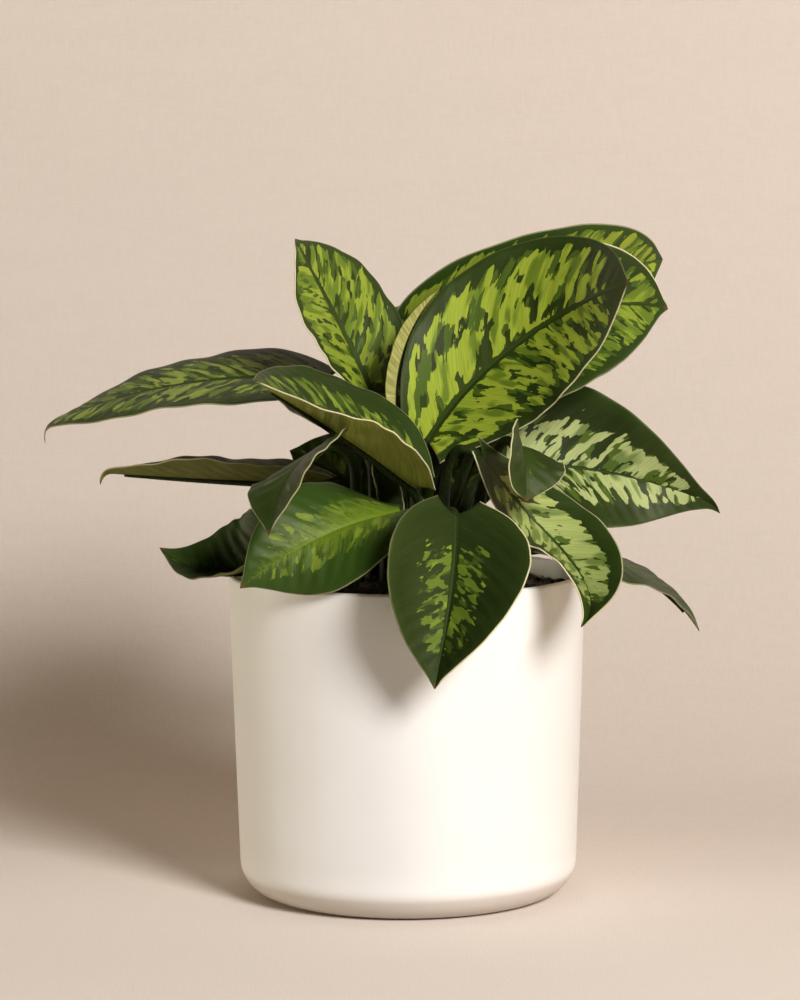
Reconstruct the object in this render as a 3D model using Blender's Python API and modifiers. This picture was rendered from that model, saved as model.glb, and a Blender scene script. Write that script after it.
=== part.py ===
"""Potted homalomena: a cream pot, a plug of potting mix and one solid for each leaf with its stalk.

Lengths here are in millimetres and angles in degrees; MM turns them into Blender's metres.
The pot's axis is +Z, its base stands on Z = 0 and the side seen in the photo faces -Y.
"""

import bpy
import bmesh
import numpy as np

MM = 0.001

# Pot
POT_TOP_R = 70.0
POT_TOP_Z = 127.0
POT_FOOT_R = 66.4
POT_CORNER_R = 14.0
POT_CORNER_STEPS = 5
POT_WALL = 3.0
POT_FLOOR = 4.0
POT_RIM_ROUND = 0.8
POT_STEPS = 56

# Potting mix
SOIL_GAP = 0.3
SOIL_EDGE_Z = 120.0
SOIL_MOUND = 3.0
SOIL_BUMP = 0.8
SOIL_RINGS = 5
SOIL_STEPS = 32
HOLE_STEPS = 9
HOLE_PLAY = 1.2
STALK_DEPTH = 8.0

# Blades and stalks
BLADE_THICK = 0.8
ROWS = (0.0, 0.05, 0.11, 0.19, 0.28, 0.38, 0.49, 0.60, 0.71, 0.81, 0.90, 0.96, 1.0)
COLUMNS = (-1.0, -0.66, -0.33, 0.0, 0.33, 0.66, 1.0)
OUTLINE_AT = (0, 0.04, 0.10, 0.20, 0.32, 0.45, 0.58, 0.70, 0.80, 0.88, 0.94, 0.975, 1.0)
OUTLINE_HALF = (0.30, 0.52, 0.74, 0.93, 1.0, 0.98, 0.885, 0.72, 0.525, 0.31, 0.135, 0.055, 0.0)
LOBE = 5.0
LOBE_REACH = 0.35
WAVE = 1.0
WAVES = 2.0
CURL_STEPS = 12
MIDRIB_STEPS = 160
NOD_FROM = 0.9
RIB_SINK = 0.45
RIB_R = (1.6, 0.7)
STALK_R = (2.7, 1.8)
STALK_POINTS = 8
STALK_UPRIGHT = 24.0
RIB_AT = (0.04, 0.16, 0.32, 0.48, 0.64, 0.80)

# One row a leaf: base x y z, heading and its turn, pitch and roll at base and tip, length, width,
# outline skew, fold of the left half at base and tip, of the right half, curl of each half,
# droop of the tip, where the stalk leaves the soil, x y, and how steeply it meets the blade.
LEAF_COLUMNS = (
    "x y z heading turn pitch0 pitch1 roll0 roll1 length width skew "
    "left0 left1 right0 right1 curl_left curl_right nod root_x root_y arch"
).split()
LEAVES = {
    "big": (8, -11, 179, 17, -93, 57, 8, 83, 84, 123, 70, 1.2, 28, -9, 44, -4, -6, 2, 0, 5, -7, 0.5),
    "behind": (3, 28, 195, -24, 85, 45, 1, 110, 100, 133, 68, 1.0, -4, 22, 1, 30, 1, 8, 0, 0, 11, 0.5),
    "right_high": (26, -2, 180, -10, 35, 79, -16, 58, 74, 105, 64, 1.5, 13, 32, 12, 25, 6, 3, 0, 12, 2, 0.5),
    "silver": (37, 8, 168, 10, -18, 1, -24, 34, 110, 91, 73, 0.5, 30, 14, 30, 9, 4, 8, -30, 20, 0, 0.5),
    "low_right": (29, -41, 177, 31, -150, -58, -19, 53, -12, 99, 39, 1.2, -7, 37, -3, 67, -1, 4, 0, 15, -13, 0.5),
    "small_right": (42, -46, 181, -75, -20, 4, -89, -35, -26, 32, 31, 1.5, 15, 16, 50, 19, -1, 6, 0, 25, -6, -0.5),
    "thin_right": (55, 10, 136, -2, 15, -2, -58, -2, 13, 74, 46, 1.3, -20, 19, -17, 19, -14, -14, 0, 30, 8, 0.5),
    "front": (18.5, -60, 156, -89, -33, -51, -68, -14, -16, 71, 62, 1.1, 20, 38, 20, 40, 8, 21, 0, 9, -25, 0.5),
    "low_left": (-2, -41, 155, 219, -34, -2, -40, -5, -106, 73, 49, 1.0, 25, -6, 15, 3, -8, -26, 0, -4, -19, 0.5),
    "small_left": (-30, -53, 183, 222, 28, -17, -65, 22, 1, 50, 42, 0.8, 3, 39, -11, 12, -5, -14, 0, -21, -8, 0.5),
    "dark_left": (-42, -21, 142, 162, 2, -47, 38, -40, -28, 63, 45, 0.9, 52, 14, 49, 14, 7, 7, 0, -27, -2, 0.5),
    "keeled_left": (-33, 3, 162, 174, -15, 1, 2, -2, -2, 94, 38, 1.0, 29, 31, 20, 20, 0, 0, -75, -19, 5, 0.5),
    "far_left": (-31, 15, 201, 188, -16, 7, -26, -22, -17, 121, 55, 1.0, 11, 2, 9, -7, -9, -14, -75, -13, 13, 0.5),
    "upright": (-14, 5, 197, 191, 44, 68, 52, -47, -86, 71, 56, 1.1, 28, 0, 32, -12, 2, -3, 0, -8, 1, 0.5),
    "curled_left": (3, -38.5, 164, 191, 38, 39, 25, -23, -32, 84, 67, 1.1, 53, 28, 36, 1, -21, -11, 0, 4, -16, 0.5),
    "young": (-4, -15, 192, -3, -2, 94, 46, 0, 0, 51, 9, 1.0, 62, 58, 62, 58, 0, 0, 0, -1, 1, 0.5),
    "inner_left": (-9, -13, 146, 128, 5, 84, 66, 0, 0, 28, 18, 1.0, 45, 40, 45, 40, 0, 0, 0, -6, -9, 0.5),
    "back_right": (19, 28, 174, 60, -8, 25, -22, 0, 0, 96, 56, 1.0, 20, 20, 20, 20, -8, -8, 0, 11, 13, 0.5),
    "back_high": (3, 37, 189, 92, 6, 42, -4, 0, 0, 106, 58, 1.0, 22, 20, 22, 20, -6, -6, 0, 1, 20, 0.5),
    "back_left": (-17, 30, 176, 111, 6, 20, -8, 0, 0, 80, 52, 1.0, 18, 18, 18, 18, -8, -8, 0, -9, 20, 0.5),
    "back_low_right": (21, 27, 150, 60, 6, 60, 10, 0, 0, 46, 46, 1.0, 18, 16, 18, 16, -8, -8, 0, 9, 23, 0.5),
    "back_low_left": (-14, 34, 150, 152, 6, 42, 16, -50, -60, 42, 36, 1.0, 18, 16, 18, 16, -8, -8, 0, -8, 27, 0.5),
}
LEAVES = {name: dict(zip(LEAF_COLUMNS, row)) for name, row in LEAVES.items()}


def clear_scene():
    for obj in list(bpy.data.objects):
        bpy.data.objects.remove(obj)


def new_collection(name):
    collection = bpy.data.collections.new(name)
    bpy.context.scene.collection.children.link(collection)
    return collection


def material(name, colour, roughness):
    made = bpy.data.materials.new(name)
    made.use_nodes = True
    shader = made.node_tree.nodes["Principled BSDF"]
    shader.inputs["Base Color"].default_value = (*colour, 1.0)
    shader.inputs["Roughness"].default_value = roughness
    shader.inputs["Metallic"].default_value = 0.0
    made.diffuse_color = (*colour, 1.0)
    return made


def mesh_object(name, points_mm, faces, collection, look=None):
    mesh = bpy.data.meshes.new(name)
    mesh.from_pydata([tuple(p) for p in np.asarray(points_mm, float) * MM], [], faces)
    mesh.validate()
    if look:
        mesh.materials.append(look)
    obj = bpy.data.objects.new(name, mesh)
    collection.objects.link(obj)
    return obj


def face_outward(obj):
    shape = bmesh.new()
    shape.from_mesh(obj.data)
    bmesh.ops.recalc_face_normals(shape, faces=shape.faces)
    shape.to_mesh(obj.data)
    shape.free()


def apply_modifiers(obj):
    graph = bpy.context.evaluated_depsgraph_get()
    mesh = bpy.data.meshes.new_from_object(obj.evaluated_get(graph))
    obj.modifiers.clear()
    obj.data = mesh


def ease(t):
    t = np.clip(t, 0.0, 1.0)
    return t * t * (3.0 - 2.0 * t)


def smooth_curve(x, at, values):
    """A cubic through the listed points that never overshoots them."""
    at = np.asarray(at, float)
    values = np.asarray(values, float)
    step = np.diff(at)
    slope = np.diff(values) / step
    tangent = np.concatenate([slope[:1], np.zeros(len(slope) - 1), slope[-1:]])
    for i in range(1, len(slope)):
        if slope[i - 1] * slope[i] > 0:
            a = 2 * step[i] + step[i - 1]
            b = step[i] + 2 * step[i - 1]
            tangent[i] = (a + b) / (a / slope[i - 1] + b / slope[i])
    k = np.clip(np.searchsorted(at, x) - 1, 0, len(at) - 2)
    t = (x - at[k]) / step[k]
    start = (1 + 2 * t) * (1 - t) ** 2 * values[k] + t * (1 - t) ** 2 * step[k] * tangent[k]
    end = t * t * (3 - 2 * t) * values[k + 1] + t * t * (t - 1) * step[k] * tangent[k + 1]
    return start + end


def midrib(leaf):
    """Stations along the midrib: position, forward, leftward and upper-side directions."""
    s = np.linspace(0, 1, MIDRIB_STEPS + 1)
    heading = np.radians(leaf["heading"] + leaf["turn"] * s)
    pitch = leaf["pitch0"] + (leaf["pitch1"] - leaf["pitch0"]) * s
    pitch = np.radians(pitch + leaf["nod"] * ease((s - NOD_FROM) / (1 - NOD_FROM)))
    roll = np.radians(leaf["roll0"] + (leaf["roll1"] - leaf["roll0"]) * s)[:, None]
    flat = np.cos(pitch)
    ahead = np.stack([flat * np.cos(heading), flat * np.sin(heading), np.sin(pitch)], -1)
    steps = (ahead[1:] + ahead[:-1]) / 2 * (leaf["length"] / MIDRIB_STEPS)
    base = np.array([leaf["x"], leaf["y"], leaf["z"]], float)
    place = base + np.concatenate([np.zeros((1, 3)), np.cumsum(steps, 0)])
    level = np.stack([-np.sin(heading), np.cos(heading), 0 * heading], -1)
    upright = np.cross(ahead, level)
    left = np.cos(roll) * level + np.sin(roll) * upright
    upper = -np.sin(roll) * level + np.cos(roll) * upright
    return s, place, ahead, left, upper


def along(x, s, vectors):
    return np.stack([np.interp(x, s, vectors[:, k]) for k in range(3)], -1)


def blade_points(leaf, s, v):
    """Blade surface at s along the midrib, 0 to 1, and v across it, 1 the left edge, -1 the right."""
    at, place, ahead, left, upper = midrib(leaf)
    reach = np.abs(v)
    lobe = LOBE / leaf["length"] * reach**1.5 * np.clip(1 - s / LOBE_REACH, 0, 1) ** 2
    station = s - lobe
    on_rib = np.clip(station, 0, 1)
    forward = along(on_rib, at, ahead)
    centre = along(on_rib, at, place) + forward * ((station - on_rib) * leaf["length"])[..., None]
    half = leaf["width"] / 2 * smooth_curve(s ** leaf["skew"], OUTLINE_AT, OUTLINE_HALF)
    fold_left = leaf["left0"] + (leaf["left1"] - leaf["left0"]) * s
    fold_right = leaf["right0"] + (leaf["right1"] - leaf["right0"]) * s
    fold = np.where(v > 0, fold_left, fold_right)
    curl = np.where(v > 0, leaf["curl_left"], leaf["curl_right"])
    across = np.zeros_like(reach)
    lift = np.zeros_like(reach)
    for k in range(CURL_STEPS):
        part = reach * (k + 0.5) / CURL_STEPS
        slope = np.radians(fold + curl * part**2)
        across += np.cos(slope) * reach / CURL_STEPS * half
        lift += np.sin(slope) * reach / CURL_STEPS * half
    phase = 2 * np.pi * (WAVES * s + 0.25 * (v > 0))
    lift += WAVE * min(1.0, leaf["width"] / 40) * reach**2 * np.sin(phase) * np.sin(np.pi * s)
    sideways = along(on_rib, at, left) * (across * np.sign(v))[..., None]
    return centre + sideways + along(on_rib, at, upper) * lift[..., None]


def stalk_path(leaf):
    """Centre points and radii of the stalk, then of the rib that runs on under the blade."""
    at, place, ahead, left, upper = midrib(leaf)
    slim = min(1.0, leaf["width"] / 30)
    root = np.array([leaf["root_x"], leaf["root_y"], SOIL_EDGE_Z + SOIL_MOUND - STALK_DEPTH])
    top = place[0] - upper[0] * STALK_R[1] * RIB_SINK * slim
    rise = top - root
    reach = np.linalg.norm(rise)
    arrive = leaf["arch"] * rise / reach + ahead[0]
    arrive /= np.linalg.norm(arrive)
    straight = np.clip(STALK_UPRIGHT / reach, 0.58, 0.65) * reach
    inner = (root + np.array([0, 0, straight]), top - arrive * 0.3 * reach)
    t = np.linspace(0, 1, STALK_POINTS)[:, None]
    bezier = (1 - t) ** 3 * root + 3 * (1 - t) ** 2 * t * inner[0] + 3 * (1 - t) * t**2 * inner[1] + t**3 * top
    stalk_r = STALK_R[0] + (STALK_R[1] * slim - STALK_R[0]) * t[:, 0]
    rib_at = np.array(RIB_AT)
    rib_r = slim * (RIB_R[0] + (RIB_R[1] - RIB_R[0]) * rib_at / RIB_AT[-1])
    rib = along(rib_at, at, place) - along(rib_at, at, upper) * (rib_r * RIB_SINK)[:, None]
    return np.concatenate([bezier, rib]), np.concatenate([stalk_r, rib_r])


def tube(name, points_mm, radii_mm, collection):
    curve = bpy.data.curves.new(name, "CURVE")
    curve.dimensions = "3D"
    curve.bevel_depth = MM
    curve.bevel_resolution = 1
    curve.use_fill_caps = True
    line = curve.splines.new("POLY")
    line.points.add(len(points_mm) - 1)
    for point, place, radius in zip(line.points, points_mm, radii_mm):
        point.co = (*(place * MM), 1.0)
        point.radius = radius
    made = bpy.data.objects.new(name + "_curve", curve)
    collection.objects.link(made)
    graph = bpy.context.evaluated_depsgraph_get()
    mesh = bpy.data.meshes.new_from_object(made.evaluated_get(graph))
    bpy.data.objects.remove(made)
    obj = bpy.data.objects.new(name, mesh)
    collection.objects.link(obj)
    shape = bmesh.new()
    shape.from_mesh(mesh)
    bmesh.ops.remove_doubles(shape, verts=shape.verts, dist=1e-6)
    bmesh.ops.recalc_face_normals(shape, faces=shape.faces)
    shape.to_mesh(mesh)
    shape.free()
    return obj


def blade(name, leaf, collection, look):
    """The blade as an open sheet of triangles that comes to one point at the tip, then thickened."""
    s, v = np.meshgrid(ROWS[:-1], COLUMNS, indexing="ij")
    points = blade_points(leaf, s, v).reshape(-1, 3)
    tip = blade_points(leaf, np.array([1.0]), np.array([0.0]))
    points = np.concatenate([points, tip])
    wide = len(COLUMNS)
    faces = []
    for i in range(len(ROWS) - 2):
        for j in range(wide - 1):
            a = i * wide + j
            b = a + 1
            c = a + wide
            d = c + 1
            faces += [(a, c, d), (a, d, b)] if j < wide // 2 else [(a, c, b), (b, c, d)]
    last = (len(ROWS) - 2) * wide
    faces += [(last + j, len(points) - 1, last + j + 1) for j in range(wide - 1)]
    obj = mesh_object("leaf_" + name, points, faces, collection, look)
    solid = obj.modifiers.new("thickness", "SOLIDIFY")
    solid.thickness = BLADE_THICK * MM
    solid.offset = 0.0
    return obj


def leaf_solid(name, leaf, collection, helpers, look):
    obj = blade(name, leaf, collection, look)
    stalk = tube("stalk_" + name, *stalk_path(leaf), helpers)
    join = obj.modifiers.new("stalk", "BOOLEAN")
    join.operation = "UNION"
    join.solver = "EXACT"
    join.object = stalk
    apply_modifiers(obj)
    bpy.data.objects.remove(stalk)
    return obj


def corner(centre_r, centre_z, radius, start, end):
    """Points of a rounded corner, from one angle to another."""
    turn = np.radians(np.linspace(start, end, POT_CORNER_STEPS + 1))
    return [(centre_r + radius * np.cos(a), centre_z + radius * np.sin(a)) for a in turn]


def pot(collection, look):
    """Tapered wall, rounded foot and flat base, turned about Z from the inner floor over the rim."""
    inner_corner = POT_CORNER_R - POT_WALL
    inner_foot_r = POT_FOOT_R - POT_WALL
    rim_in = POT_TOP_R - POT_WALL
    profile = [(0.0, POT_FLOOR)]
    profile += corner(inner_foot_r - inner_corner, POT_FLOOR + inner_corner, inner_corner, -90, 0)
    profile += [
        (rim_in, POT_TOP_Z - POT_RIM_ROUND),
        (rim_in + POT_RIM_ROUND, POT_TOP_Z),
        (POT_TOP_R - POT_RIM_ROUND, POT_TOP_Z),
        (POT_TOP_R, POT_TOP_Z - POT_RIM_ROUND),
    ]
    profile += corner(POT_FOOT_R - POT_CORNER_R, POT_CORNER_R, POT_CORNER_R, 0, -90)
    profile += [(0.0, 0.0)]
    mesh = bpy.data.meshes.new("pot")
    edges = [(i, i + 1) for i in range(len(profile) - 1)]
    mesh.from_pydata([(r * MM, 0.0, z * MM) for r, z in profile], edges, [])
    mesh.materials.append(look)
    obj = bpy.data.objects.new("pot", mesh)
    collection.objects.link(obj)
    turn = obj.modifiers.new("turn", "SCREW")
    turn.steps = POT_STEPS
    turn.render_steps = POT_STEPS
    turn.use_merge_vertices = True
    turn.merge_threshold = 1e-5
    apply_modifiers(obj)
    face_outward(obj)
    return obj


def soil_r(z):
    """Radius of the plug at height z, a gap inside the pot's wall."""
    inner_foot_r = POT_FOOT_R - POT_WALL
    foot_z = POT_FLOOR + POT_CORNER_R - POT_WALL
    rim_in = POT_TOP_R - POT_WALL
    grow = (rim_in - inner_foot_r) / (POT_TOP_Z - foot_z)
    return inner_foot_r + grow * (z - foot_z) - SOIL_GAP


def soil(collection, helpers, look):
    """A plug that fills the pot, mounded and lumpy on top, with a plain hole for each stalk."""
    foot_z = POT_FLOOR + POT_CORNER_R - POT_WALL
    turns = np.linspace(0, 2 * np.pi, SOIL_STEPS, endpoint=False)
    rings = []
    for k in range(1, SOIL_RINGS + 1):
        share = k / SOIL_RINGS
        lumps = SOIL_BUMP * np.sin(3 * turns + 2.1 * k) * np.cos(5 * turns - 1.3 * k) * np.sin(np.pi * share)
        height = SOIL_EDGE_Z + SOIL_MOUND * (1 - share**2) + lumps
        rings.append((soil_r(SOIL_EDGE_Z) * share + 0 * turns, height))
    shoulder = POT_CORNER_R - POT_WALL
    rings.append((soil_r(foot_z) + 0 * turns, foot_z + 0 * turns))
    rings.append((soil_r(foot_z) - 0.4 * shoulder + 0 * turns, foot_z - 0.8 * shoulder + 0 * turns))
    rings.append((soil_r(foot_z) - shoulder + 0 * turns, POT_FLOOR + SOIL_GAP + 0 * turns))
    points = [(0.0, 0.0, SOIL_EDGE_Z + SOIL_MOUND)]
    for radius, height in rings:
        points += list(zip(radius * np.cos(turns), radius * np.sin(turns), height))
    points.append((0.0, 0.0, POT_FLOOR + SOIL_GAP))
    faces = []
    for j in range(SOIL_STEPS):
        k = (j + 1) % SOIL_STEPS
        faces.append((0, 1 + j, 1 + k))
        for i in range(len(rings) - 1):
            a = 1 + i * SOIL_STEPS
            b = a + SOIL_STEPS
            faces += [(a + j, b + j, b + k), (a + j, b + k, a + k)]
        faces.append((len(points) - 1, a + SOIL_STEPS + k, a + SOIL_STEPS + j))
    obj = mesh_object("soil", points, faces, collection, look)
    face_outward(obj)
    for name, leaf in LEAVES.items():
        stalk_hole(name, leaf, helpers)
    cut = obj.modifiers.new("stalk_holes", "BOOLEAN")
    cut.operation = "DIFFERENCE"
    cut.solver = "EXACT"
    cut.operand_type = "COLLECTION"
    cut.collection = helpers
    apply_modifiers(obj)
    for cutter in list(helpers.objects):
        bpy.data.objects.remove(cutter)
    return obj


def stalk_hole(name, leaf, helpers):
    """A cylinder a gap wider and deeper than the foot of the stalk."""
    foot_z = SOIL_EDGE_Z + SOIL_MOUND - STALK_DEPTH - SOIL_GAP
    top_z = POT_TOP_Z
    turns = np.linspace(0, 2 * np.pi, HOLE_STEPS, endpoint=False)
    radius = STALK_R[0] + HOLE_PLAY
    ring_x = leaf["root_x"] + radius * np.cos(turns)
    ring_y = leaf["root_y"] + radius * np.sin(turns)
    points = [(x, y, foot_z) for x, y in zip(ring_x, ring_y)]
    points += [(x, y, top_z) for x, y in zip(ring_x, ring_y)]
    faces = [tuple(range(HOLE_STEPS)), tuple(range(HOLE_STEPS, 2 * HOLE_STEPS))]
    for j in range(HOLE_STEPS):
        k = (j + 1) % HOLE_STEPS
        faces.append((j, k, HOLE_STEPS + k, HOLE_STEPS + j))
    face_outward(mesh_object("hole_" + name, points, faces, helpers))


def main():
    clear_scene()
    plant = new_collection("potted_homalomena")
    helpers = new_collection("helpers")
    helpers.hide_render = True
    cream = material("pot", (0.88, 0.84, 0.78), 0.55)
    mix = material("soil", (0.035, 0.022, 0.014), 0.95)
    bright = material("leaf_bright", (0.12, 0.22, 0.03), 0.42)
    dark = material("leaf_dark", (0.02, 0.07, 0.015), 0.42)
    silver = material("leaf_silver", (0.10, 0.18, 0.06), 0.42)
    pale = material("young_leaf", (0.34, 0.36, 0.12), 0.5)
    looks = {"young": pale, "silver": silver, "low_right": silver}
    for name in ("far_left", "keeled_left", "dark_left", "inner_left", "small_right", "thin_right", "small_left"):
        looks[name] = dark
    for name, leaf in LEAVES.items():
        leaf_solid(name, leaf, plant, helpers, looks.get(name, bright))
    soil(plant, helpers, mix)
    pot(plant, cream)


main()
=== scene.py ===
"""Looks of the potted homalomena: marbled leaves, stalks, potting mix, cream pot and a pale studio."""

import bmesh
import bpy
import numpy as np
from mathutils import Matrix, Vector


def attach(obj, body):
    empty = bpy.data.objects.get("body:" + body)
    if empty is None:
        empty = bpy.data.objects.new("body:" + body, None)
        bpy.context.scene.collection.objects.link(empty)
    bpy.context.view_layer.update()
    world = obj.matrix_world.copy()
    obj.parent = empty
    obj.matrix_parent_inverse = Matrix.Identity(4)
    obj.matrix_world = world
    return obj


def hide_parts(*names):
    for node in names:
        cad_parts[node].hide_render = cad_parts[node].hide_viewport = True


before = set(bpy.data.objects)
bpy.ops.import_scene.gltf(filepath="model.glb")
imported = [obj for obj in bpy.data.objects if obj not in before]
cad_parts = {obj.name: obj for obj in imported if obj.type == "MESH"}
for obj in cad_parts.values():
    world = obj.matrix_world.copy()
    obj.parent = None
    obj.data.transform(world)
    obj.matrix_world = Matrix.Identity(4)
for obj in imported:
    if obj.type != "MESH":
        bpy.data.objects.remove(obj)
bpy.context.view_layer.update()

MM = 0.001

# Camera, from the photograph: a long lens a metre and a half away, looking a little down
PHOTO_W = 800
PHOTO_H = 1000
FOCAL_PX = 3828.0
CAMERA_REACH = 1500.0
CAMERA_DOWN = 6.18
CAMERA_ROLL = 0.31
CAMERA_AIM = (-2.5, 0.0, 155.2)
SENSOR_MM = 36.0

# Studio sweep: flat to just behind the pot, then a round turn up into a wall
SWEEP_NEAR = -1600.0
SWEEP_FLAT_END = 170.0
SWEEP_ROUND_R = 550.0
SWEEP_TALL = 2200.0
SWEEP_HALF_WIDE = 2600.0

# Pot
POT_TOP_R = 70.0
POT_TOP_Z = 127.0
POT_FOOT_R = 66.4
POT_CORNER_R = 14.0
POT_WALL = 3.0
POT_FLOOR = 4.0
POT_RIM_ROUND = 1.3
POT_TURNS = 160

# Potting mix
SOIL_GAP = 0.3
SOIL_EDGE_Z = 120.0
SOIL_MOUND = 3.0
SOIL_TURNS = 200
SOIL_RINGS = 64
SOIL_CRUMBS = 900
CRUMB_R = (0.5, 2.0)

# Blades
OUTLINE_AT = (0, 0.04, 0.10, 0.20, 0.32, 0.45, 0.58, 0.70, 0.80, 0.88, 0.94, 0.975, 1.0)
OUTLINE_HALF = (0.30, 0.52, 0.74, 0.93, 1.0, 0.98, 0.885, 0.72, 0.525, 0.31, 0.135, 0.055, 0.0)
LOBE = 5.0
LOBE_REACH = 0.35
WAVE = 1.0
WAVES = 2.0
RIPPLE = 0.35
RIPPLES = 6.5
CURL_STEPS = 12
MIDRIB_STEPS = 240
NOD_FROM = 0.9
BLADE_ROWS = 110
BLADE_COLUMNS = 49
COLUMN_CROWD = 1.6
HALF_THICK = 0.26
GROOVE = 0.35
GROOVE_R = 0.9
QUILT = 0.16
VEIN_GAP = 7.0
VEIN_SLANT = 0.65
VEIN_BEND = 0.006

# Stalks
RIB_SINK = (0.75, 1.0)
RIB_R = (1.6, 0.6)
RIB_END = 0.86
STALK_R = (2.7, 1.8)
STALK_DEPTH = 8.0
STALK_UPRIGHT = 24.0
STALK_ROWS = 56
RIB_ROWS = 40
STALK_SIDES = 16
CHANNEL = 0.22

# The solids' leaf table: blade base, directions, size, folds and curls, and where the stalk roots
LEAF_COLUMNS = (
    "x y z heading turn pitch0 pitch1 roll0 roll1 length width skew "
    "left0 left1 right0 right1 curl_left curl_right nod root_x root_y arch"
).split()
LEAVES = {
    "big": (8, -11, 179, 17, -93, 57, 8, 83, 84, 123, 70, 1.2, 28, -9, 44, -4, -6, 2, 0, 5, -7, 0.5),
    "behind": (3, 28, 195, -24, 85, 45, 1, 110, 100, 133, 68, 1.0, -4, 22, 1, 30, 1, 8, 0, 0, 11, 0.5),
    "right_high": (26, -2, 180, -10, 35, 79, -16, 58, 74, 105, 64, 1.5, 13, 32, 12, 25, 6, 3, 0, 12, 2, 0.5),
    "silver": (37, 8, 168, 10, -18, 1, -24, 34, 110, 91, 73, 0.5, 30, 14, 30, 9, 4, 8, -30, 20, 0, 0.5),
    "low_right": (29, -41, 177, 31, -150, -58, -19, 53, -12, 99, 39, 1.2, -7, 37, -3, 67, -1, 4, 0, 15, -13, 0.5),
    "small_right": (42, -46, 181, -75, -20, 4, -89, -35, -26, 32, 31, 1.5, 15, 16, 50, 19, -1, 6, 0, 25, -6, -0.5),
    "thin_right": (55, 10, 136, -2, 15, -2, -58, -2, 13, 74, 46, 1.3, -20, 19, -17, 19, -14, -14, 0, 30, 8, 0.5),
    "front": (18.5, -60, 156, -89, -33, -51, -68, -14, -16, 71, 62, 1.1, 20, 38, 20, 40, 8, 21, 0, 9, -25, 0.5),
    "low_left": (-2, -41, 155, 219, -34, -2, -40, -5, -106, 73, 49, 1.0, 25, -6, 15, 3, -8, -26, 0, -4, -19, 0.5),
    "small_left": (-30, -53, 183, 222, 28, -17, -65, 22, 1, 50, 42, 0.8, 3, 39, -11, 12, -5, -14, 0, -21, -8, 0.5),
    "dark_left": (-42, -21, 142, 162, 2, -47, 38, -40, -28, 63, 45, 0.9, 52, 14, 49, 14, 7, 7, 0, -27, -2, 0.5),
    "keeled_left": (-33, 3, 162, 174, -15, 1, 2, -2, -2, 94, 38, 1.0, 29, 31, 20, 20, 0, 0, -75, -19, 5, 0.5),
    "far_left": (-31, 15, 201, 188, -16, 7, -26, -22, -17, 121, 55, 1.0, 11, 2, 9, -7, -9, -14, -75, -13, 13, 0.5),
    "upright": (-14, 5, 197, 191, 44, 68, 52, -47, -86, 71, 56, 1.1, 28, 0, 32, -12, 2, -3, 0, -8, 1, 0.5),
    "curled_left": (3, -38.5, 164, 191, 38, 39, 25, -23, -32, 84, 67, 1.1, 53, 28, 36, 1, -21, -11, 0, 4, -16, 0.5),
    "young": (-4, -15, 192, -3, -2, 94, 46, 0, 0, 51, 9, 1.0, 62, 58, 62, 58, 0, 0, 0, -1, 1, 0.5),
    "inner_left": (-9, -13, 146, 128, 5, 84, 66, 0, 0, 28, 18, 1.0, 45, 40, 45, 40, 0, 0, 0, -6, -9, 0.5),
    "back_right": (19, 28, 174, 60, -8, 25, -22, 0, 0, 96, 56, 1.0, 20, 20, 20, 20, -8, -8, 0, 11, 13, 0.5),
    "back_high": (3, 37, 189, 92, 6, 42, -4, 0, 0, 106, 58, 1.0, 22, 20, 22, 20, -6, -6, 0, 1, 20, 0.5),
    "back_left": (-17, 30, 176, 111, 6, 20, -8, 0, 0, 80, 52, 1.0, 18, 18, 18, 18, -8, -8, 0, -9, 20, 0.5),
    "back_low_right": (21, 27, 150, 60, 6, 60, 10, 0, 0, 46, 46, 1.0, 18, 16, 18, 16, -8, -8, 0, 9, 23, 0.5),
    "back_low_left": (-14, 34, 150, 152, 6, 42, 16, -50, -60, 42, 36, 1.0, 18, 16, 18, 16, -8, -8, 0, -8, 27, 0.5),
}
LEAVES = {name: dict(zip(LEAF_COLUMNS, row)) for name, row in LEAVES.items()}

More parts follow.
